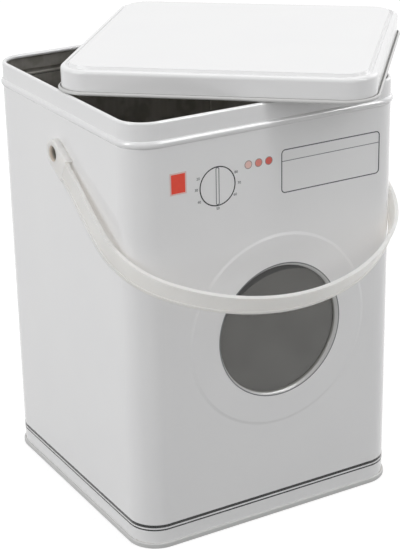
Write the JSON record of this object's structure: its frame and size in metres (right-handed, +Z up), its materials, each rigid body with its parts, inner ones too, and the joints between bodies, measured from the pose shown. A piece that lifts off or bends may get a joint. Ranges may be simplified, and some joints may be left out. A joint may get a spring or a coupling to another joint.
{
  "type": "laundry powder tin",
  "caption": "Square tinplate tin for washing powder with a slip lid lying askew on its rim, a plastic carrying handle and a round window in the front.",
  "frame": {"origin": "middle of the tin's base, on the floor", "axes": "+Z up, the front with the round window faces -Y, +X to the right seen from the front"},
  "size_m": [0.2374, 0.2347, 0.262],
  "materials": {
    "lacquered_tinplate": "glossy white lacquer",
    "lid_tinplate": "glossy white lacquer",
    "clear_plastic": "clear, slightly smoked",
    "milky_plastic": "milky, semi-matt"
  },
  "bodies": {
    "tin": {"tin_body": "lacquered_tinplate", "base_panel": "lacquered_tinplate", "window_pane": "clear_plastic"},
    "handle": {"handle": "milky_plastic"},
    "lid": {"lid": "lid_tinplate"}
  },
  "joints": [
    {"name": "handle_swing", "type": "hinge", "parent": "tin", "child": "handle", "pos_m": [0, 0, 0.2114], "axis": [-1, 0, 0], "range_deg": [0, 44]},
    {"name": "lid_lift", "type": "slide", "parent": "tin", "child": "lid", "axis": [0, 0, 1], "range_m": [0, 0.1]}
  ]
}
